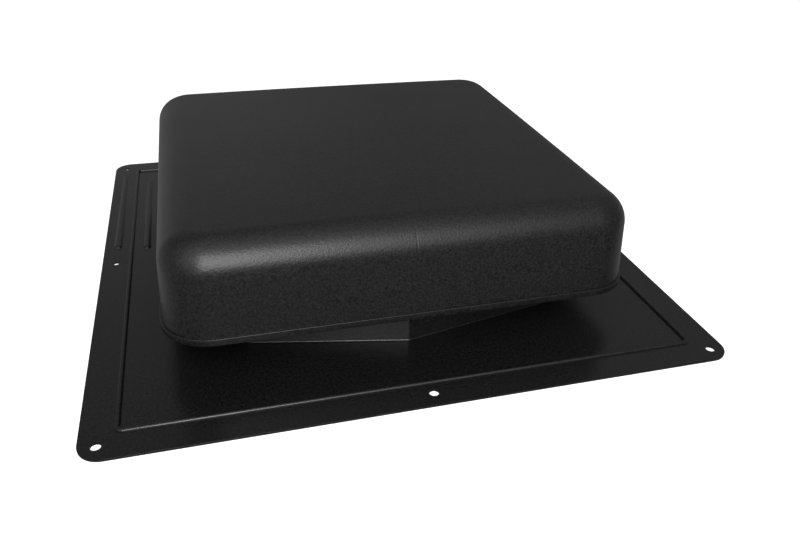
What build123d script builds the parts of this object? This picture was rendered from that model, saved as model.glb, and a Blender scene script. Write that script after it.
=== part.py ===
"""Square-top static roof vent: a moulded flashing base under a raised hood.

Millimetres, +Z up.  The origin is the centre of the flashing, on its underside.
-Y is the front of the vent and +X its right-hand side.
"""
import math
import os

from build123d import *

# ---------------------------------------------------------------- flashing base
base_width = 400.0
base_depth = 416.0
base_corner_radius = 14.0
sheet = 1.4                      # moulded wall of the flashing
edge_round = 0.3

ridge_half_width = 179.5         # middle of the water ridge, from the middle of the flashing
ridge_front_y = -187.2
ridge_back_y = 188.4
ridge_corner_radius = 3.0
ridge_thickness = 3.2            # round-topped ridge that runs all round the flashing
ridge_height = 1.5
ridge_round = 1.4

front_hole_radius = 3.0          # nail holes in the flange
hole_radius = 2.2
hole_x = 190.0
hole_front_y = -197.0
hole_back_y = 196.0
side_hole_y = 6.0

bead_radius = 4.2                # stiffening beads, lower at the back end
bead_front_height = 1.5
bead_back_height = 0.8
bead_lines = (                   # distance from the middle, front end, back end
    (190.0, 33.0, 176.0),
    (168.0, 28.0, 159.0),
)

# ---------------------------------------------------------------- plinth and throat
vent_y = -3.5                    # middle of the hood, the plinth and the throat
plinth_half_width = 118.0
plinth_half_depth = 138.5        # to the point of its prow, front and back
prow_angle = 11.7                # each half of the front and back walls falls back by this
plinth_top = 27.0
plinth_wall = 2.2
plinth_draft = 4.0
prow_round = 4.0
plinth_corner_round = 24.0
plinth_foot_round = 1.0
plinth_top_round = 4.0

throat_radius = 101.6            # 8 inch throat
collar_wall = 2.4
collar_top = 40.0
collar_foot_round = 3.0
rib_count = 12                   # under the plinth, between its wall and the throat
rib_thickness = 1.8
rib_depth = 16.0
rib_end_inset = 1.9              # buries the rib ends in the drafted plinth wall

# ---------------------------------------------------------------- hood
hood_width = 303.0
hood_depth = 307.0
hood_bottom = 28.6
hood_top = 91.0
hood_wall = 2.3
hood_draft = 4.5
hood_corner_radius = 31.0
hood_top_round = 22.0
hood_crown = 1.0                 # rise of the middle of the top over its edges
lip_out = 1.3
lip_height = 4.2
lip_round = 1.1

# ---------------------------------------------------------------- posts and screws
post_circle = 136.0              # posts stand on the diagonals of the throat
post_angles = {"front_left": 225, "front_right": 315, "rear_left": 135, "rear_right": 45}
post_radius = 8.0
post_top = 74.0
post_bore = 2.9
post_flange_radius = 12.0
post_flange = 2.5
gusset_height = 22.0
gusset_thickness = 2.0
boss_radius = 6.0
boss_flare_radius = 9.0
boss_flare_height = 6.0
boss_bore = 2.2
boss_bore_depth = 11.0

screw_shank = 2.1
screw_head_radius = 4.6
screw_head_height = 3.0
screw_recess_radius = 2.0
screw_recess_depth = 1.8
washer_radius = 7.0
washer_bore = 2.6
washer_thickness = 1.2

# ---------------------------------------------------------------- insect screen
wire = 0.8                       # thickness of a screen wire
wire_pitch = 6.35                # quarter-inch mesh
wire_gap = 0.05                  # between the two layers of wires
wires_each_way = 33
screen_radius = 103.0

ring_inner_radius = 99.0
ring_clearance = 0.3             # between the ring's skirt and the collar
ring_wall = 2.0
ring_cap = 2.2
ring_skirt = 9.0
ring_round = 0.8

ring_screw_angles = (0, 90, 180, 270)
ring_screw_hole = 1.3
ring_screw_shank = 1.2
ring_screw_reach = 4.0           # shank length, short of the throat's inside
ring_screw_head_radius = 2.8
ring_screw_head = 1.6

# ---------------------------------------------------------------- worked-out values
ridge_depth = ridge_back_y - ridge_front_y
plinth_rise = plinth_top - sheet
plinth_ceiling = plinth_top - plinth_wall
prow_setback = plinth_half_width * math.tan(math.radians(prow_angle))
collar_radius = throat_radius + collar_wall

crown_radius = (hood_width / 2) ** 2 / (2 * hood_crown)
hood_ceiling = hood_top - hood_wall - hood_crown
screw_tip = post_top + boss_bore_depth - 1.0
washer_bottom = plinth_ceiling - washer_thickness

screen_top = collar_top + 2 * wire + wire_gap
ring_bottom = screen_top - ring_skirt
skirt_inner_radius = collar_radius + ring_clearance
skirt_radius = skirt_inner_radius + ring_wall
ring_screw_z = ring_bottom + 3.5

center = (0, vent_y)
upright = (Align.CENTER, Align.CENTER, Align.MIN)
hanging = (Align.CENTER, Align.CENTER, Align.MAX)
front_nail_points = [(x, hole_front_y, 0) for x in (-hole_x, 0, hole_x)]
nail_points = [(x, hole_back_y, 0) for x in (-hole_x, 0, hole_x)]
nail_points += [(x, side_hole_y, 0) for x in (-hole_x, hole_x)]


def post_point(angle, z):
    """Point on a post's axis, at a height."""
    turn = math.radians(angle)
    return (post_circle * math.cos(turn), vent_y + post_circle * math.sin(turn), z)


def post_points(z):
    """The same point on all four posts."""
    return [post_point(angle, z) for angle in post_angles.values()]


def ring_screw_plane(angle, radius):
    """Plane square to a ring screw, facing outwards at a radius of the throat."""
    turn = math.radians(angle)
    outward = Vector(math.cos(turn), math.sin(turn), 0)
    return Plane(origin=Vector(0, vent_y, ring_screw_z) + outward * radius, z_dir=outward)


def ridge_outline(offset_out):
    """Plan of the water ridge's middle line, grown by an offset."""
    with Locations((0, (ridge_front_y + ridge_back_y) / 2)):
        RectangleRounded(2 * (ridge_half_width + offset_out), ridge_depth + 2 * offset_out,
                         ridge_corner_radius + offset_out)


def plinth_outline(inset=0.0):
    """Plan of the plinth: straight sides, with blunt prows front and back."""
    shoulder = plinth_half_depth - prow_setback
    right = [(plinth_half_width, -shoulder), (plinth_half_width, shoulder)]
    left = [(-x, -y) for x, y in right]
    with Locations(center):
        Polygon((0, -plinth_half_depth), *right, (0, plinth_half_depth), *left, align=None)
    fillet(vertices().sort_by(Axis.X)[2:4], prow_round)
    sides = vertices().sort_by(Axis.X)
    fillet(sides[:2] + sides[-2:], plinth_corner_round)
    if inset:
        offset(amount=-inset, mode=Mode.REPLACE)


def make_bead(x, front_y, back_y):
    """Round-topped bead with domed ends, which gets lower towards the back."""
    start = Vector(x, front_y, sheet + bead_front_height - bead_radius)
    end = Vector(x, back_y, sheet + bead_back_height - bead_radius)
    with BuildPart() as bead:
        with BuildSketch(Plane(origin=start, z_dir=end - start)):
            Circle(bead_radius)
        extrude(amount=(end - start).length)
        with Locations(start, end):
            Sphere(bead_radius)
        split(bisect_by=Plane.XY.offset(sheet / 2))
    return bead.part


# ================================================================ flashing base
with BuildSketch() as plinth_core:
    plinth_outline(inset=rib_end_inset)

beads = [make_bead(side * x, front_y, back_y)
         for side in (-1, 1) for x, front_y, back_y in bead_lines]

with BuildPart() as base:
    # Flange, water ridge and plinth, from the roof up.
    with BuildSketch():
        RectangleRounded(base_width, base_depth, base_corner_radius)
    extrude(amount=sheet)
    fillet(base.faces().sort_by(Axis.Z)[-1].edges(), edge_round)
    with BuildSketch(Plane.XY.offset(sheet)):
        ridge_outline(ridge_thickness / 2)
        with BuildSketch(mode=Mode.PRIVATE) as ridge_inside:
            ridge_outline(-ridge_thickness / 2)
        add(ridge_inside.sketch_local, mode=Mode.SUBTRACT)
    extrude(amount=ridge_height)
    fillet(base.faces().sort_by(Axis.Z)[-1].edges(), ridge_round)
    with BuildSketch(Plane.XY.offset(sheet)):
        plinth_outline()
    extrude(amount=plinth_rise, taper=plinth_draft)
    fillet(base.faces().sort_by(Axis.Z)[-1].edges(), plinth_top_round)
    foot = base.edges().filter_by_position(Axis.Z, sheet - 0.01, sheet + 0.01)
    foot = foot.filter_by(lambda edge: abs(edge.center().X) < plinth_half_width + 1)
    foot = foot.filter_by(lambda edge: abs(edge.center().Y) < plinth_half_depth + 5)
    fillet(foot, plinth_foot_round)

    # The plinth is hollow below, at one wall thickness.
    with BuildSketch():
        plinth_outline(inset=plinth_wall)
    extrude(amount=plinth_ceiling, taper=plinth_draft, mode=Mode.SUBTRACT)

    # Ribs under the plinth run from its wall to the throat collar.
    with BuildSketch(Plane.XY.offset(plinth_ceiling)):
        with Locations(center):
            with PolarLocations(0, rib_count):
                Rectangle(plinth_half_depth, rib_thickness, align=(Align.MIN, Align.CENTER))
        add(plinth_core.sketch_local, mode=Mode.INTERSECT)
    extrude(amount=-rib_depth)

    # Throat collar, open from the roof to its rim.
    with BuildSketch():
        with Locations(center):
            Circle(collar_radius)
    extrude(amount=collar_top)
    collar_foot = base.edges().filter_by(GeomType.CIRCLE)
    collar_foot = collar_foot.filter_by_position(Axis.Z, plinth_top - 0.01, plinth_top + 0.01)
    fillet(collar_foot.filter_by(lambda edge: edge.radius > throat_radius), collar_foot_round)
    with BuildSketch():
        with Locations(center):
            Circle(throat_radius)
    extrude(amount=collar_top, mode=Mode.SUBTRACT)

    # Nail holes, post screw holes and the pilot holes of the screen ring.
    with Locations(*front_nail_points):
        Cylinder(front_hole_radius, 3 * sheet, mode=Mode.SUBTRACT)
    with Locations(*nail_points):
        Cylinder(hole_radius, 3 * sheet, mode=Mode.SUBTRACT)
    with Locations(*post_points(plinth_top)):
        Cylinder(post_bore, 3 * plinth_wall, mode=Mode.SUBTRACT)
    for angle in ring_screw_angles:
        with BuildSketch(ring_screw_plane(angle, skirt_radius)):
            Circle(ring_screw_hole)
        extrude(amount=-ring_screw_reach - 0.1, mode=Mode.SUBTRACT)

    # Stiffening beads beside the hood, in the rear half of the flashing.
    for bead in beads:
        add(bead)


# ================================================================ hood
def hood_outline(offset_out):
    """Plan of the hood at its bottom edge, grown by an offset."""
    with Locations(center):
        RectangleRounded(hood_width + 2 * offset_out, hood_depth + 2 * offset_out,
                         hood_corner_radius + offset_out)


with BuildPart() as hood:
    # Drafted sides under a slightly crowned top.
    with BuildSketch(Plane.XY.offset(hood_bottom)):
        hood_outline(0)
    extrude(amount=hood_top - hood_bottom, taper=hood_draft)
    with Locations((0, vent_y, hood_top - crown_radius)):
        Sphere(crown_radius, mode=Mode.INTERSECT)
    fillet(hood.faces().sort_by(Axis.Z)[-1].edges(), hood_top_round)

    # The lip stands proud of the walls around the open bottom.
    with BuildSketch(Plane.XY.offset(hood_bottom)):
        hood_outline(lip_out)
    extrude(amount=lip_height)
    ledge = hood.faces().filter_by(Axis.Z).sort_by(Axis.Z)[-1]
    fillet(ledge.outer_wire().edges(), lip_round)

    # The hollow has a flat ceiling, with a flared boss for each post's screw.
    with BuildPart(mode=Mode.PRIVATE) as hollow:
        with BuildSketch(Plane.XY.offset(hood_bottom)):
            hood_outline(-hood_wall)
        extrude(amount=hood_ceiling - hood_bottom, taper=hood_draft)
        fillet(hollow.faces().sort_by(Axis.Z)[-1].edges(), hood_top_round - hood_wall)
        with Locations(*post_points(hood_ceiling)):
            Cylinder(boss_radius, hood_ceiling - post_top, align=hanging, mode=Mode.SUBTRACT)
            Cone(boss_radius, boss_flare_radius, boss_flare_height,
                 align=hanging, mode=Mode.SUBTRACT)
    add(hollow.part, mode=Mode.SUBTRACT)
    with Locations(*post_points(post_top)):
        Cylinder(boss_bore, boss_bore_depth, align=upright, mode=Mode.SUBTRACT)


# ================================================================ posts
def make_post(angle):
    """Hollow post with a foot flange and four gussets, between the plinth and the hood."""
    with BuildPart() as post:
        with Locations(post_point(angle, plinth_top)):
            Cylinder(post_flange_radius, post_flange, align=upright)
            Cylinder(post_radius, post_top - plinth_top, align=upright)
        for quarter in range(4):
            turn = math.radians(45 + 90 * quarter)
            radial = Plane(origin=post_point(angle, plinth_top),
                           x_dir=(math.cos(turn), math.sin(turn), 0),
                           z_dir=(math.sin(turn), -math.cos(turn), 0))
            with BuildSketch(radial):
                Polygon((post_radius - 1, 0), (post_flange_radius, 0),
                        (post_flange_radius, post_flange), (post_radius, gusset_height),
                        (post_radius - 1, gusset_height), align=None)
            extrude(amount=gusset_thickness / 2, both=True)
        with Locations(post_point(angle, plinth_top)):
            Cylinder(post_bore, post_top - plinth_top, align=upright, mode=Mode.SUBTRACT)
    return post


posts = {corner: make_post(angle) for corner, angle in post_angles.items()}

with BuildPart() as post_screws:
    with Locations(*post_points(washer_bottom)):
        Cylinder(screw_shank, screw_tip - washer_bottom, align=upright)
        Cylinder(screw_head_radius, screw_head_height, align=hanging)
    with Locations(*post_points(washer_bottom - screw_head_height)):
        Cylinder(screw_recess_radius, screw_recess_depth, align=upright, mode=Mode.SUBTRACT)

with BuildPart() as post_washers:
    with Locations(*post_points(washer_bottom)):
        Cylinder(washer_radius, washer_thickness, align=upright)
        Cylinder(washer_bore, washer_thickness, align=upright, mode=Mode.SUBTRACT)


# ================================================================ insect screen
with BuildPart() as insect_screen:
    # Two layers of wires, crossing at right angles over the throat.
    for layer, turn in enumerate((0, 90)):
        with BuildSketch(Plane.XY.offset(collar_top + layer * (wire + wire_gap))):
            with Locations(center):
                Circle(screen_radius)
            with BuildSketch(mode=Mode.PRIVATE) as wires:
                with Locations(Location((0, vent_y, 0), (0, 0, turn))):
                    with GridLocations(0, wire_pitch, 1, wires_each_way):
                        Rectangle(2 * screen_radius, wire)
            add(wires.sketch_local, mode=Mode.INTERSECT)
        extrude(amount=wire)

with BuildPart() as screen_ring:
    with BuildSketch(Plane.XZ.offset(-vent_y)):
        with Locations((ring_inner_radius, screen_top)):
            Rectangle(skirt_radius - ring_inner_radius, ring_cap, align=(Align.MIN, Align.MIN))
        with Locations((skirt_inner_radius, ring_bottom)):
            Rectangle(ring_wall, ring_skirt + ring_cap, align=(Align.MIN, Align.MIN))
        fillet(vertices().group_by(Axis.Y)[-1], ring_round)
    revolve(axis=Axis((0, vent_y, 0), (0, 0, 1)))
    for angle in ring_screw_angles:
        with BuildSketch(ring_screw_plane(angle, skirt_radius + 1)):
            Circle(ring_screw_hole)
        extrude(amount=-ring_wall - 1.5, mode=Mode.SUBTRACT)

with BuildPart() as ring_screws:
    for angle in ring_screw_angles:
        with BuildSketch(ring_screw_plane(angle, skirt_radius)):
            Circle(ring_screw_shank)
        extrude(amount=-ring_screw_reach)
        with BuildSketch(ring_screw_plane(angle, skirt_radius)):
            Circle(ring_screw_head_radius)
        extrude(amount=ring_screw_head)


# ================================================================ write the pieces
pieces = {
    "flashing_base": base,
    "hood": hood,
    "post_screws": post_screws,
    "post_washers": post_washers,
    "insect_screen": insect_screen,
    "screen_ring": screen_ring,
    "ring_screws": ring_screws,
}
pieces.update({f"post_{corner}": post for corner, post in posts.items()})

os.makedirs("parts", exist_ok=True)
for name, piece in pieces.items():
    piece.part.label = name
    export_step(piece.part, f"parts/{name}.step")
    print(f"{name}: {len(piece.part.solids())} solids, {piece.part.volume:.0f} mm3")
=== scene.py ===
"""Looks of the square-top roof vent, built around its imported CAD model.  Metres, +Z up."""
import math

import bmesh
import bpy
from mathutils import Euler, Matrix, Vector


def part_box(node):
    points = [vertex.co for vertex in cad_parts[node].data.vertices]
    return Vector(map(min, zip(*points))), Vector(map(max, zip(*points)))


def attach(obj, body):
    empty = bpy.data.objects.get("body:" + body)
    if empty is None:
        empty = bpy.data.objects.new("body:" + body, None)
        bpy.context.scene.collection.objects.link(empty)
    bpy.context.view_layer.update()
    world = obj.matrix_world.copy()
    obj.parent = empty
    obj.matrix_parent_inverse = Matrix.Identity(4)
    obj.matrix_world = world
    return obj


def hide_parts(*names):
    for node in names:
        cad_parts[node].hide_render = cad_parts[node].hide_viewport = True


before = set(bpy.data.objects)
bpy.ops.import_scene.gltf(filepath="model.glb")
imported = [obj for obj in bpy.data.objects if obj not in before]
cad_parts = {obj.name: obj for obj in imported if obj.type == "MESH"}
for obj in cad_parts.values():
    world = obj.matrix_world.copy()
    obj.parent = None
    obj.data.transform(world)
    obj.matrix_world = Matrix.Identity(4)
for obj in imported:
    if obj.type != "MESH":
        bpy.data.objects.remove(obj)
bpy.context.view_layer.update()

MM = 0.001
FLAT = math.cos(math.radians(0.6))     # faces within this angle count as one flat area

# ------------------------------------------------------------------ sizes
hood_low, hood_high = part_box("hood")
hood_bottom = hood_low.z
hood_top = hood_high.z
hood_lip_out = 1.3 * MM
hood_half_x = (hood_high.x - hood_low.x) / 2 - hood_lip_out
hood_half_y = (hood_high.y - hood_low.y) / 2 - hood_lip_out
vent_y = (hood_high.y + hood_low.y) / 2
hood_wall = 2.3 * MM
hood_corner = 31 * MM
hood_draft = math.radians(4.5)
hood_round = 22 * MM
hood_crown = 1 * MM
crown_radius = hood_half_x ** 2 / (2 * hood_crown)
lip_height = 4.2 * MM
lip_draft = math.radians(5)
lip_edge = 0.35 * MM                   # breaks the lip's bottom edge
lip_ledge = 0.4 * MM                   # rounds the lip's top edge
seam_bottom = hood_top - 29 * MM
seam_depth = 0.12 * MM
seam_half = 0.3 * MM
boss_bore = 2.2 * MM
boss_bore_depth = 11 * MM

flange_thick = 1.4 * MM
flange_corner = 14 * MM
flange_edge_round = 0.3 * MM           # as in the CAD
flange_edge_kept = 0.25                # share of that round that the visual model keeps

post_low, post_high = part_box("post_front_left")
post_foot = post_low.z
post_top = post_high.z
post_names = ["post_front_left", "post_front_right", "post_rear_left", "post_rear_right"]
post_places = []
for name in post_names:
    low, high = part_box(name)
    post_places.append(((low.x + high.x) / 2, (low.y + high.y) / 2))


# ------------------------------------------------------------------ small helpers
def new_object(name, mesh):
    """Link a new mesh object to the scene."""
    made = bpy.data.objects.new(name, mesh)
    bpy.context.scene.collection.objects.link(made)
    return made


def finish_mesh(bm, name, material, smooth_angle=40):
    """Turn a bmesh into a smooth-shaded object with one material."""
    bmesh.ops.recalc_face_normals(bm, faces=bm.faces)
    mesh = bpy.data.meshes.new(name)
    bm.to_mesh(mesh)
    bm.free()
    mesh.materials.append(material)
    mesh.polygons.foreach_set("use_smooth", [True] * len(mesh.polygons))
    mesh.set_sharp_from_angle(angle=math.radians(smooth_angle))
    return new_object(name, mesh)


def bridge_rings(bm, rings, closed=False):
    """Join rings of equal length into a skin of quads; closed joins the last to the first."""
    count = len(rings[0])
    pairs = list(zip(rings, rings[1:]))
    if closed:
        pairs.append((rings[-1], rings[0]))
    for lower, upper in pairs:
        for i in range(count):
            j = (i + 1) % count
            bm.faces.new((lower[i], lower[j], upper[j], upper[i]))


def lathe(bm, profile, turns, centre=(0, 0), ends="capped"):
    """Turn (radius, height) points about a vertical axis; its ends are capped, joined or open."""
    place = Matrix.Translation((*centre, 0))
    rings = []
    for radius, height in profile:
        ring = []
        for i in range(turns):
            angle = 2 * math.pi * i / turns
            point = Vector((radius * math.cos(angle), radius * math.sin(angle), height))
            ring.append(bm.verts.new(place @ point))
        rings.append(ring)
    bridge_rings(bm, rings, closed=ends == "joined")
    if ends == "capped":
        bm.faces.new(rings[0])
        bm.faces.new(rings[-1])


# ------------------------------------------------------------------ materials
def moulded_plastic(name, color, roughness, grain_size, grain_depth, speckle=0.5, mottle=0.06,
                    wall_dullness=0):
    """Black moulded plastic: fine spark-eroded grain, with faint speckle and mottling.

    wall_dullness is added to the roughness of upright walls.
    """
    material = bpy.data.materials.new(name)
    material.use_nodes = True
    nodes = material.node_tree.nodes
    links = material.node_tree.links
    shader = nodes["Principled BSDF"]
    coords = nodes.new("ShaderNodeTexCoord")

    grain = nodes.new("ShaderNodeTexNoise")
    grain.inputs["Scale"].default_value = 1 / grain_size
    grain.inputs["Detail"].default_value = 3
    grain.inputs["Roughness"].default_value = 0.6
    links.new(coords.outputs["Object"], grain.inputs["Vector"])

    flow = nodes.new("ShaderNodeTexNoise")
    flow.inputs["Scale"].default_value = 14
    flow.inputs["Detail"].default_value = 4
    links.new(coords.outputs["Object"], flow.inputs["Vector"])

    tint = nodes.new("ShaderNodeMapRange")
    tint.inputs["To Min"].default_value = 1 - mottle
    tint.inputs["To Max"].default_value = 1 + mottle
    links.new(flow.outputs["Fac"], tint.inputs["Value"])
    specks = nodes.new("ShaderNodeMapRange")
    specks.inputs["From Min"].default_value = 0.3
    specks.inputs["From Max"].default_value = 0.7
    specks.inputs["To Min"].default_value = 1 - speckle
    specks.inputs["To Max"].default_value = 1 + speckle
    links.new(grain.outputs["Fac"], specks.inputs["Value"])
    tone = nodes.new("ShaderNodeMath")
    tone.operation = "MULTIPLY"
    links.new(tint.outputs["Result"], tone.inputs[0])
    links.new(specks.outputs["Result"], tone.inputs[1])
    shade = nodes.new("ShaderNodeMix")
    shade.data_type = "RGBA"
    shade.blend_type = "MULTIPLY"
    shade.inputs["Factor"].default_value = 1
    shade.inputs["A"].default_value = (*color, 1)
    links.new(tone.outputs["Value"], shade.inputs["B"])
    links.new(shade.outputs["Result"], shader.inputs["Base Color"])

    gloss = nodes.new("ShaderNodeMapRange")
    gloss.inputs["From Min"].default_value = 0.3
    gloss.inputs["From Max"].default_value = 0.7
    gloss.inputs["To Min"].default_value = roughness - 0.02
    gloss.inputs["To Max"].default_value = roughness + 0.02
    links.new(flow.outputs["Fac"], gloss.inputs["Value"])
    facing = nodes.new("ShaderNodeSeparateXYZ")
    links.new(coords.outputs["Normal"], facing.inputs["Vector"])
    tilt = nodes.new("ShaderNodeMath")
    tilt.operation = "ABSOLUTE"
    links.new(facing.outputs["Z"], tilt.inputs[0])
    dulling = nodes.new("ShaderNodeMapRange")
    dulling.inputs["From Max"].default_value = 0.8
    dulling.inputs["To Min"].default_value = wall_dullness
    dulling.inputs["To Max"].default_value = 0
    links.new(tilt.outputs["Value"], dulling.inputs["Value"])
    dulled = nodes.new("ShaderNodeMath")
    links.new(gloss.outputs["Result"], dulled.inputs[0])
    links.new(dulling.outputs["Result"], dulled.inputs[1])
    links.new(dulled.outputs["Value"], shader.inputs["Roughness"])

    bump = nodes.new("ShaderNodeBump")
    bump.inputs["Strength"].default_value = 1
    bump.inputs["Distance"].default_value = grain_depth
    links.new(grain.outputs["Fac"], bump.inputs["Height"])
    links.new(bump.outputs["Normal"], shader.inputs["Normal"])
    return material


def metal(name, color, roughness, grain_size):
    """Plated or drawn metal with fine streaks in its roughness."""
    material = bpy.data.materials.new(name)
    material.use_nodes = True
    nodes = material.node_tree.nodes
    links = material.node_tree.links
    shader = nodes["Principled BSDF"]
    shader.inputs["Metallic"].default_value = 1
    shader.inputs["Base Color"].default_value = (*color, 1)
    coords = nodes.new("ShaderNodeTexCoord")
    streaks = nodes.new("ShaderNodeTexNoise")
    streaks.inputs["Scale"].default_value = 1 / grain_size
    streaks.inputs["Detail"].default_value = 5
    links.new(coords.outputs["Object"], streaks.inputs["Vector"])
    gloss = nodes.new("ShaderNodeMapRange")
    gloss.inputs["To Min"].default_value = roughness - 0.1
    gloss.inputs["To Max"].default_value = roughness + 0.15
    links.new(streaks.outputs["Fac"], gloss.inputs["Value"])
    links.new(gloss.outputs["Result"], shader.inputs["Roughness"])
    bump = nodes.new("ShaderNodeBump")
    bump.inputs["Distance"].default_value = 0.02 * MM
    links.new(streaks.outputs["Fac"], bump.inputs["Height"])
    links.new(bump.outputs["Normal"], shader.inputs["Normal"])
    return material


hood_plastic = moulded_plastic("hood_plastic", (0.007, 0.007, 0.0071), 0.35, 1.5 * MM, 0.15 * MM, 0.88)
base_plastic = moulded_plastic("flashing_plastic", (0.007, 0.007, 0.0071), 0.26, 1.5 * MM, 0.08 * MM,
                               0.8, wall_dullness=0.1)
post_plastic = moulded_plastic("post_plastic", (0.016, 0.016, 0.0163), 0.45, 1 * MM, 0.05 * MM)
ring_plastic = moulded_plastic("ring_plastic", (0.018, 0.018, 0.0184), 0.42, 1 * MM, 0.05 * MM)
screen_metal = metal("screen_wire", (0.62, 0.62, 0.63), 0.35, 0.3 * MM)
screw_metal = metal("screw_steel", (0.55, 0.55, 0.56), 0.3, 0.2 * MM)


# ------------------------------------------------------------------ hood
def hood_outline(inset, z, crowned, seam=False):
    """Points of the hood's rounded-square ring at an inset; seam marks the middle of its front."""
    half_x = hood_half_x - inset
    half_y = hood_half_y - inset
    radius = max(hood_corner - inset, 1.5 * MM)
    corner_steps = 18
    side_stops = [i / 12 for i in range(1, 12)]
    straight = half_x - radius
    seam_stops = sorted(side_stops + [0.5 + d * MM / straight for d in (-0.45, -0.25, 0.25, 0.45)])
    points = []
    for quarter, (sx, sy) in enumerate(((1, -1), (1, 1), (-1, 1), (-1, -1))):
        cx = sx * (half_x - radius)
        cy = sy * (half_y - radius)
        start = math.radians(-90 + 90 * quarter)
        for step in range(corner_steps + 1):
            angle = start + math.radians(90) * step / corner_steps
            points.append((cx + radius * math.cos(angle), cy + radius * math.sin(angle)))
        nx, ny = ((1, 1), (-1, 1), (-1, -1), (1, -1))[quarter]
        end = points[-1]
        if quarter in (0, 2):
            target = (end[0], ny * (half_y - radius))
        else:
            target = (nx * (half_x - radius), end[1])
        for stop in seam_stops if quarter == 3 else side_stops:
            points.append((end[0] + (target[0] - end[0]) * stop,
                           end[1] + (target[1] - end[1]) * stop))
    ring = []
    for x, y in points:
        on_seam = seam and y < 0 and abs(x) < seam_half
        ring.append((x, y + vent_y + on_seam * seam_depth,
                     z - crowned * (x * x + y * y) / (2 * crown_radius)))
    return ring


def wall_rings(top, fillet_radius, inset, start_z, crowned):
    """(inset, z, crowned) of rings up a drafted wall and over its top fillet."""
    z_tangent = top - fillet_radius * (1 - math.sin(hood_draft))
    wall_inset = inset + (z_tangent - hood_bottom) * math.tan(hood_draft)
    centre = wall_inset + fillet_radius * math.cos(hood_draft)
    rings = []
    wall_steps = 6
    fillet_steps = 14
    for i in range(wall_steps):
        z = start_z + (z_tangent - start_z) * i / wall_steps
        rings.append((inset + (z - hood_bottom) * math.tan(hood_draft), z, 0))
    for i in range(fillet_steps + 1):
        angle = hood_draft + (math.pi / 2 - hood_draft) * i / fillet_steps
        z = top - fillet_radius * (1 - math.sin(angle))
        rings.append((centre - fillet_radius * math.cos(angle), z, crowned * i / fillet_steps))
    return rings


def make_hood():
    """Drafted hood with a crowned top, hollow below, with a lip around its bottom edge."""
    bm = bmesh.new()
    lip_top = hood_bottom + lip_height
    wall_at_lip = lip_height * math.tan(hood_draft)
    lip_at_ledge = (lip_height - lip_ledge) * math.tan(lip_draft)
    outer = [(-hood_lip_out + lip_edge, hood_bottom, 0),
             (-hood_lip_out + 0.3 * lip_edge, hood_bottom + 0.3 * lip_edge, 0),
             (-hood_lip_out, hood_bottom + lip_edge, 0)]
    ledge_steps = 8
    for i in range(ledge_steps + 1):
        angle = math.radians(90) * i / ledge_steps
        outer.append((-hood_lip_out + lip_at_ledge + lip_ledge * (1 - math.cos(angle)),
                      lip_top - lip_ledge * (1 - math.sin(angle)), 0))
    outer.append((wall_at_lip, lip_top, 0))
    outer += wall_rings(hood_top, hood_round, 0, lip_top + 0.3 * MM, 1)
    ceiling = hood_top - hood_wall - hood_crown
    inner = [(hood_wall, hood_bottom, 0)]
    inner += wall_rings(ceiling, hood_round - hood_wall, hood_wall, hood_bottom + 2 * MM, 0)
    outer_rings = [[bm.verts.new(p) for p in hood_outline(*spec, spec[1] > seam_bottom)]
                   for spec in outer]
    inner_rings = [[bm.verts.new(p) for p in hood_outline(*spec)] for spec in inner]
    bridge_rings(bm, list(reversed(inner_rings)) + outer_rings)
    for rings, top, crowned in ((outer_rings, hood_top, 1), (inner_rings, ceiling, 0)):
        last = rings[-1]
        flat = [v.co.copy() for v in last]
        shrunk = [last]
        for scale in (0.97, 0.9, 0.8, 0.65, 0.5, 0.35, 0.2, 0.08):
            ring = []
            for co in flat:
                x = co.x * scale
                y = (co.y - vent_y) * scale
                z = top - crowned * (x * x + y * y) / (2 * crown_radius)
                ring.append(bm.verts.new((x, y + vent_y, z)))
            shrunk.append(ring)
        bridge_rings(bm, shrunk)
        middle = bm.verts.new((0, vent_y, top))
        ring = shrunk[-1]
        for i in range(len(ring)):
            bm.faces.new((ring[i], ring[(i + 1) % len(ring)], middle))
    boss = [(9.4, 0.6), (9, 0), (8.4, -0.7), (7.1, -2.4), (6.3, -4.2), (6, -6)]
    profile = [(r * MM, ceiling + z * MM) for r, z in boss]
    profile += [(6 * MM, post_top + 0.4 * MM), (5.6 * MM, post_top), (2.5 * MM, post_top),
                (boss_bore, post_top + 0.3 * MM), (boss_bore, post_top + boss_bore_depth)]
    for centre in post_places:
        lathe(bm, profile, 40, centre)
    return finish_mesh(bm, "hood_skin", hood_plastic)


hood = make_hood()
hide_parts("hood")
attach(hood, "root")


# ------------------------------------------------------------------ flashing
def true_normals(bm, smooth_angle):
    """Corner normals that stay exact on flat areas and turn only through the small rounds.

    Neighbouring coplanar faces count as one area; each corner takes the mean of the areas that
    meet there without a sharp edge, weighted by their size.
    """
    flat_area = {}
    for first in bm.faces:
        if first in flat_area:
            continue
        members = {first}
        waiting = [first]
        while waiting:
            face = waiting.pop()
            for edge in face.edges:
                for other in edge.link_faces:
                    if other not in members and other.normal.dot(first.normal) > FLAT:
                        members.add(other)
                        waiting.append(other)
        size = sum(face.calc_area() for face in sorted(members, key=lambda face: face.index))
        for face in members:
            flat_area.setdefault(face, (first.index, size, first.normal))
    sharp = {edge for edge in bm.edges
             if len(edge.link_faces) != 2 or edge.calc_face_angle() > smooth_angle}
    normals = []
    for face in bm.faces:
        for loop in face.loops:
            fan = {face}
            waiting = [face]
            while waiting:
                for edge in waiting.pop().edges:
                    if loop.vert in edge.verts and edge not in sharp:
                        fresh = set(edge.link_faces) - fan
                        fan |= fresh
                        waiting += fresh
            areas = {flat_area[member][0]: flat_area[member][1:] for member in fan}
            total = Vector()
            for _, (size, normal) in sorted(areas.items(), key=lambda item: item[0]):
                total += size * normal
            normals.append(total.normalized())
    return normals


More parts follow.
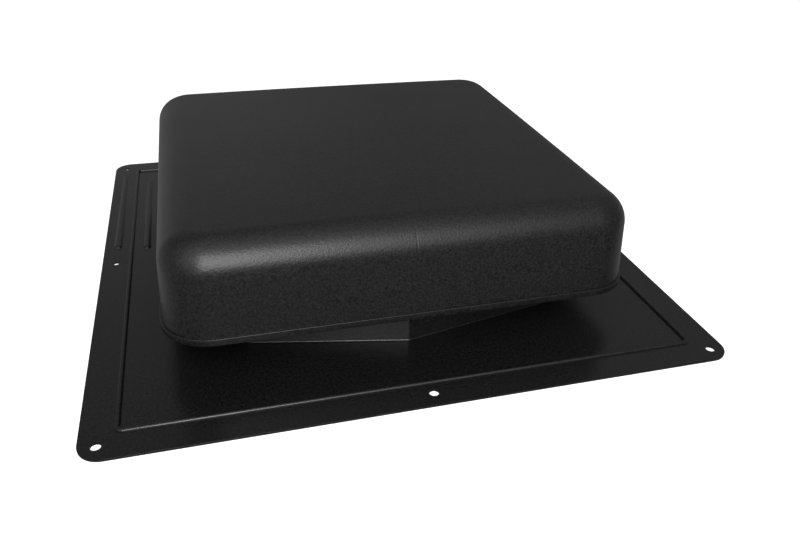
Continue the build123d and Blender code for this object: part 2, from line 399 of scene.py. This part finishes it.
def crisp_edge(bm):
    """Shrink the small round on the flange's top outer edge, which is a trimmed edge."""
    near = flange_edge_round + 0.01 * MM
    push = 1 - flange_edge_kept
    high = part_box("flashing_base")[1]
    for vert in bm.verts:
        x, y, z = vert.co
        arm = Vector((abs(x) - (high.x - flange_corner), abs(y) - (high.y - flange_corner)))
        if arm.x > 0 and arm.y > 0:
            outward = arm.normalized()
            inset = flange_corner - arm.length
        elif high.x - abs(x) < high.y - abs(y):
            outward = Vector((1, 0))
            inset = high.x - abs(x)
        else:
            outward = Vector((0, 1))
            inset = high.y - abs(y)
        drop = flange_thick - z
        if -0.01 * MM < drop < near and inset < near:
            vert.co.x += math.copysign(outward.x * inset * push, x)
            vert.co.y += math.copysign(outward.y * inset * push, y)
            vert.co.z += drop * push


def make_flashing():
    """The flashing's shape as one clean mesh: coplanar faces merged, with true normals."""
    flashing_smooth = 32
    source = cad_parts["flashing_base"]
    bm = bmesh.new()
    bm.from_mesh(source.data)
    bm.transform(source.matrix_world)
    bmesh.ops.remove_doubles(bm, verts=bm.verts, dist=0.002 * MM)
    crisp_edge(bm)
    bmesh.ops.dissolve_limit(bm, angle_limit=math.radians(0.4), verts=bm.verts, edges=bm.edges)
    bmesh.ops.triangulate(bm, faces=[face for face in bm.faces if len(face.verts) > 4])
    bmesh.ops.recalc_face_normals(bm, faces=bm.faces)
    bm.normal_update()
    bm.faces.index_update()
    normals = true_normals(bm, math.radians(flashing_smooth))
    made = finish_mesh(bm, "flashing_skin", base_plastic, flashing_smooth)
    made.data.normals_split_custom_set(normals)
    return made


flashing = make_flashing()
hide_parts("flashing_base")
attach(flashing, "root")


# ------------------------------------------------------------------ posts
def make_post(name, centre):
    """Hollow post with a rounded foot flange and four tapered gussets."""
    profile = [(3.2, 0), (11.8, 0), (12, 0.2), (12, 2.1), (11.9, 2.35), (11.6, 2.5), (9.2, 2.5),
               (8.6, 2.65), (8.2, 3), (8, 3.6)]
    profile = [(r * MM, post_foot + z * MM) for r, z in profile]
    profile += [(8 * MM, post_top - 0.6 * MM), (7.8 * MM, post_top - 0.2 * MM), (7.4 * MM, post_top),
                (3.3 * MM, post_top), (3 * MM, post_top - 0.1 * MM), (2.9 * MM, post_top - 0.4 * MM),
                (2.9 * MM, post_foot + 0.3 * MM)]
    bm = bmesh.new()
    lathe(bm, profile, 64, centre, "joined")
    side = [(7, 1), (11.8, 1), (11.8, 2.6), (8.1, 22), (7, 22)]
    for quarter in range(4):
        turn = Matrix.Translation((*centre, post_foot)) @ Matrix.Rotation(
            math.radians(45 + 90 * quarter), 4, "Z")
        plates = []
        for half in (-1, 1):
            plates.append([bm.verts.new(turn @ Vector((r * MM, half * MM, z * MM))) for r, z in side])
        near, far = plates
        faces = [bm.faces.new(list(reversed(near))), bm.faces.new(far)]
        for i in range(len(side)):
            j = (i + 1) % len(side)
            faces.append(bm.faces.new((near[i], near[j], far[j], far[i])))
        edges = list(faces[0].edges) + list(faces[1].edges)
        bmesh.ops.bevel(bm, geom=edges, offset=0.3 * MM, segments=3, profile=0.5,
                        affect="EDGES", clamp_overlap=True)
    made = finish_mesh(bm, f"{name}_moulded", post_plastic)
    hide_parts(name)
    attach(made, "root")


for name, centre in zip(post_names, post_places):
    make_post(name, centre)


# ------------------------------------------------------------------ screws and washers
def cross_radius(angle, reach, half_width):
    """Distance from the middle of a cross-shaped recess to its edge at an angle."""
    off_arm = abs((angle + math.pi / 4) % (math.pi / 2) - math.pi / 4)
    return min(reach, half_width / max(math.sin(off_arm), 1e-6))


def add_screw(bm, place, head, reach, depth, shank, length, pitch):
    """Pan-head screw: its head rises along +Z from the seat, its threaded shank goes down.

    reach and depth are the cross recess's, shank is the thread's outer radius.
    """
    turns = 48
    top = head[-1][1]
    rings = []
    for radius, height in head:
        rings.append([(radius, height)] * turns)
    for scale, drop in ((1.06, 0), (1, 0.12), (0.86, 0.7), (0.6, 1)):
        rings.append([(scale * cross_radius(2 * math.pi * i / turns, reach, 0.3 * reach),
                       top - drop * depth) for i in range(turns)])
    tip = 1.6 * shank
    steps = int(length / pitch * 8)
    thread = []
    for step in range(steps + 1):
        down = length * step / steps
        ring = []
        for i in range(turns):
            wave = abs((down / pitch - i / turns) % 1 - 0.5) * 2
            crest = max(0, 1 - wave / 0.5)
            narrow = min(1, 0.25 + (length - down) / tip)
            ring.append((shank * (0.76 + 0.24 * crest) * narrow, -down))
        thread.append(ring)
    verts = []
    for ring in list(reversed(thread)) + rings:
        verts.append([bm.verts.new(place @ Vector((r * math.cos(2 * math.pi * i / turns),
                                                   r * math.sin(2 * math.pi * i / turns), z)))
                      for i, (r, z) in enumerate(ring)])
    bridge_rings(bm, verts)
    bm.faces.new(verts[0])
    floor_middle = bm.verts.new(place @ Vector((0, 0, top - depth)))
    last = verts[-1]
    for i in range(turns):
        bm.faces.new((last[i], last[(i + 1) % turns], floor_middle))


def finish_hardware(bm, node):
    """Make a detailed piece that stands for a CAD node of screws or washers."""
    made = finish_mesh(bm, f"{node}_steel", screw_metal, 35)
    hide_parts(node)
    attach(made, "root")


washer_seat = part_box("post_washers")[0].z
screw_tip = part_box("post_screws")[1].z
pan_head = [(4.4, 0), (4.6, 0.2), (4.6, 1.2), (4.45, 1.8), (4.05, 2.35), (3.4, 2.75), (2.7, 2.95),
            (2.3, 3)]
bm = bmesh.new()
for centre in post_places:
    seat = Matrix.Translation((*centre, washer_seat)) @ Matrix.Rotation(math.pi, 4, "X")
    add_screw(bm, seat, [(r * MM, z * MM) for r, z in pan_head], reach=2 * MM, depth=1.8 * MM,
              shank=2.1 * MM, length=screw_tip - washer_seat, pitch=2.2 * MM)
finish_hardware(bm, "post_screws")

washer_edge = [(2.6, 0.2), (2.75, 0), (6.75, 0), (6.95, 0.1), (7, 0.35), (7, 0.95), (6.9, 1.15),
               (6.7, 1.2), (2.75, 1.2), (2.6, 1.05)]
bm = bmesh.new()
for centre in post_places:
    lathe(bm, [(r * MM, washer_seat + z * MM) for r, z in washer_edge], 64, centre, "joined")
finish_hardware(bm, "post_washers")

ring_low, ring_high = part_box("ring_screws")
small_head = [(2.65, 0), (2.8, 0.15), (2.78, 0.6), (2.6, 1), (2.25, 1.3), (1.75, 1.52), (1.4, 1.6)]
small_head_height = 1.6 * MM
head_seat = (ring_high.x - ring_low.x) / 2 - small_head_height
ring_middle = Vector(((ring_high.x + ring_low.x) / 2, (ring_high.y + ring_low.y) / 2,
                      (ring_high.z + ring_low.z) / 2))
bm = bmesh.new()
for quarter in range(4):
    seat = (Matrix.Translation(ring_middle) @ Matrix.Rotation(math.pi / 2 * quarter, 4, "Z")
            @ Matrix.Translation((head_seat, 0, 0)) @ Matrix.Rotation(math.pi / 2, 4, "Y"))
    add_screw(bm, seat, [(r * MM, z * MM) for r, z in small_head], reach=1.25 * MM, depth=0.9 * MM,
              shank=1.2 * MM, length=4 * MM, pitch=1 * MM)
finish_hardware(bm, "ring_screws")


# ------------------------------------------------------------------ insect screen
def make_screen():
    """Woven screen: each round wire passes over and under the wires that cross it."""
    low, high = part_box("insect_screen")
    middle = (low.z + high.z) / 2
    centre = Vector(((low.x + high.x) / 2, (low.y + high.y) / 2))
    reach = (high.x - low.x) / 2
    radius = 0.4 * MM
    swing = (high.z - low.z) / 2 - radius
    pitch = 6.35 * MM
    sides = 8
    outermost = 16
    steps_per_pitch = 6
    end_gap = 0.1 * MM
    bm = bmesh.new()
    for way in (0, 1):
        for index in range(-outermost, outermost + 1):
            offset = index * pitch
            half = math.sqrt(reach ** 2 - offset ** 2) - end_gap
            steps = 2 * round(half / (pitch / steps_per_pitch))
            rings = []
            for step in range(steps + 1):
                along = -half + 2 * half * step / steps
                rise = swing * math.cos(math.pi * along / pitch)
                if (index + way) % 2:
                    rise = -rise
                ring = []
                for i in range(sides):
                    angle = 2 * math.pi * i / sides
                    beside = offset + radius * math.cos(angle)
                    height = middle + rise + radius * math.sin(angle)
                    if way:
                        point = (centre.x + beside, centre.y + along, height)
                    else:
                        point = (centre.x + along, centre.y + beside, height)
                    ring.append(bm.verts.new(point))
                rings.append(ring)
            bridge_rings(bm, rings)
            bm.faces.new(rings[0])
            bm.faces.new(rings[-1])
    return finish_mesh(bm, "woven_screen", screen_metal, 60)


screen = make_screen()
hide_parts("insect_screen")
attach(screen, "root")


# ------------------------------------------------------------------ carried-over CAD node
for material_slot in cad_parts["screen_ring"].material_slots:
    material_slot.material = ring_plastic


# ------------------------------------------------------------------ floor, lights and camera
def paper(name, glow):
    """White backdrop paper with a little light of its own."""
    material = bpy.data.materials.new(name)
    material.use_nodes = True
    shader = material.node_tree.nodes["Principled BSDF"]
    shader.inputs["Base Color"].default_value = (0.9, 0.9, 0.9, 1)
    shader.inputs["Roughness"].default_value = 0.9
    shader.inputs["Specular IOR Level"].default_value = 0.1
    shader.inputs["Emission Color"].default_value = (1, 1, 1, 1)
    shader.inputs["Emission Strength"].default_value = glow
    return material


def make_floor():
    """Pale floor under the vent, and a round white backdrop far behind it on all sides."""
    floor_half = 6
    floor_gap = 0.2 * MM
    backdrop_profile = [(4, -0.01), (4.6, 0.1), (5.2, 0.5), (5.5, 1.2), (5.5, 8)]
    bm = bmesh.new()
    bmesh.ops.create_grid(bm, x_segments=2, y_segments=2, size=floor_half)
    floor = finish_mesh(bm, "floor", paper("floor_paper", 0.6))
    floor.location.z = -floor_gap
    bm = bmesh.new()
    lathe(bm, backdrop_profile, 96, ends="open")
    backdrop = finish_mesh(bm, "backdrop", paper("backdrop_paper", 1))
    backdrop.visible_shadow = False
    backdrop.visible_diffuse = False
    for piece in (floor, backdrop):
        piece.visible_glossy = False


def area_light(name, place, target, size, power):
    """Rectangular soft light at a place, aimed at a target."""
    data = bpy.data.lights.new(name, "AREA")
    data.shape = "RECTANGLE"
    data.size, data.size_y = size
    data.energy = power
    light = bpy.data.objects.new(name, data)
    light.location = place
    aim = Vector(target) - Vector(place)
    light.rotation_euler = aim.to_track_quat("-Z", "Y").to_euler()
    bpy.context.scene.collection.objects.link(light)


def make_world(levels, glows):
    """Dim studio: brightness by the sine of elevation, with soft glows in some directions."""
    world = bpy.data.worlds.new("studio")
    world.use_nodes = True
    nodes = world.node_tree.nodes
    links = world.node_tree.links
    coords = nodes.new("ShaderNodeTexCoord")
    parts = nodes.new("ShaderNodeSeparateXYZ")
    links.new(coords.outputs["Generated"], parts.inputs["Vector"])
    rise = nodes.new("ShaderNodeMapRange")
    rise.inputs["From Min"].default_value = -1
    links.new(parts.outputs["Z"], rise.inputs["Value"])
    ramp = nodes.new("ShaderNodeValToRGB")
    stops = ramp.color_ramp.elements
    while len(stops) < len(levels):
        stops.new(0.5)
    for stop, (height, level) in zip(stops, levels):
        stop.position = (height + 1) / 2
        stop.color = (level, level, level, 1)
    links.new(rise.outputs["Result"], ramp.inputs["Fac"])
    total = ramp.outputs["Color"]
    for direction, edge, core, level in glows:
        facing = nodes.new("ShaderNodeVectorMath")
        facing.operation = "DOT_PRODUCT"
        facing.inputs[1].default_value = Vector(direction).normalized()
        links.new(coords.outputs["Generated"], facing.inputs[0])
        glow = nodes.new("ShaderNodeMapRange")
        glow.interpolation_type = "SMOOTHSTEP"
        glow.inputs["From Min"].default_value = math.cos(math.radians(edge))
        glow.inputs["From Max"].default_value = math.cos(math.radians(core))
        glow.inputs["To Max"].default_value = level
        links.new(facing.outputs["Value"], glow.inputs["Value"])
        added = nodes.new("ShaderNodeMath")
        links.new(total, added.inputs[0])
        links.new(glow.outputs["Result"], added.inputs[1])
        total = added.outputs["Value"]
    links.new(total, nodes["Background"].inputs["Color"])
    bpy.context.scene.world = world


def make_camera():
    """Camera at the photograph's viewing angle, with a small rise for its framing."""
    data = bpy.data.cameras.new("camera")
    data.sensor_width = 36
    data.lens = 32.18
    data.shift_x = -0.0026
    data.shift_y = 0.0653
    data.clip_start = 0.01
    camera = bpy.data.objects.new("camera", data)
    camera.location = (-0.1107, -0.50748, 0.27558)
    camera.rotation_euler = Euler([math.radians(a) for a in (55.811, -1.294, -15.213)], "XYZ")
    bpy.context.scene.collection.objects.link(camera)
    bpy.context.scene.camera = camera


# Brightness of the studio by the sine of elevation.
studio_levels = ((-1, 0.12), (-0.2, 0.10), (0, 0.11), (0.17, 0.16), (0.34, 0.18), (0.5, 0.18),
                 (0.64, 0.19), (0.77, 0.24), (0.87, 0.32), (0.94, 0.42), (1, 0.55))
# Soft glows and one shade: direction, edge and core in degrees, brightness.
studio_glows = (((-0.1, -1, -0.5), 60, 10, 0.07),
                ((-0.27, -0.7, 0.75), 53, 15, 0.8),
                ((-0.25, 0.93, 0.34), 30, 3, 0.13),
                ((-0.3, 0.72, 0.66), 34, 5, -0.09),
                ((0.45, 0.65, 0.6), 25, 5, 0.03),
                ((-1, -0.25, 0.15), 50, 12, 0.1),
                ((-0.7, 0.6, -0.35), 45, 10, 0.2),
                ((0.85, 0.45, -0.42), 40, 8, 0.16),
                ((0, 1, -0.7), 42, 12, 0.1))
# The key light is three nested panels, so its sides fall off softly: name, x, width, radiance.
key_panels = (("key_core", -0.19, 0.24, 10.5),
              ("key_middle", -0.04, 0.46, 1.5),
              ("key_wide", 0.1, 0.8, 0.65))
key_height = 0.8
key_stand = (-1.0, 0.66)               # y and z of the panels
key_target = (-0.1, 0.05)              # y and z of the point that each one faces

make_floor()
make_world(studio_levels, studio_glows)
for name, x, width, radiance in key_panels:
    area_light(name, (x, *key_stand), (x, *key_target), (width, key_height),
               math.pi * width * key_height * radiance)
make_camera()
bpy.context.scene.view_settings.view_transform = "Standard"
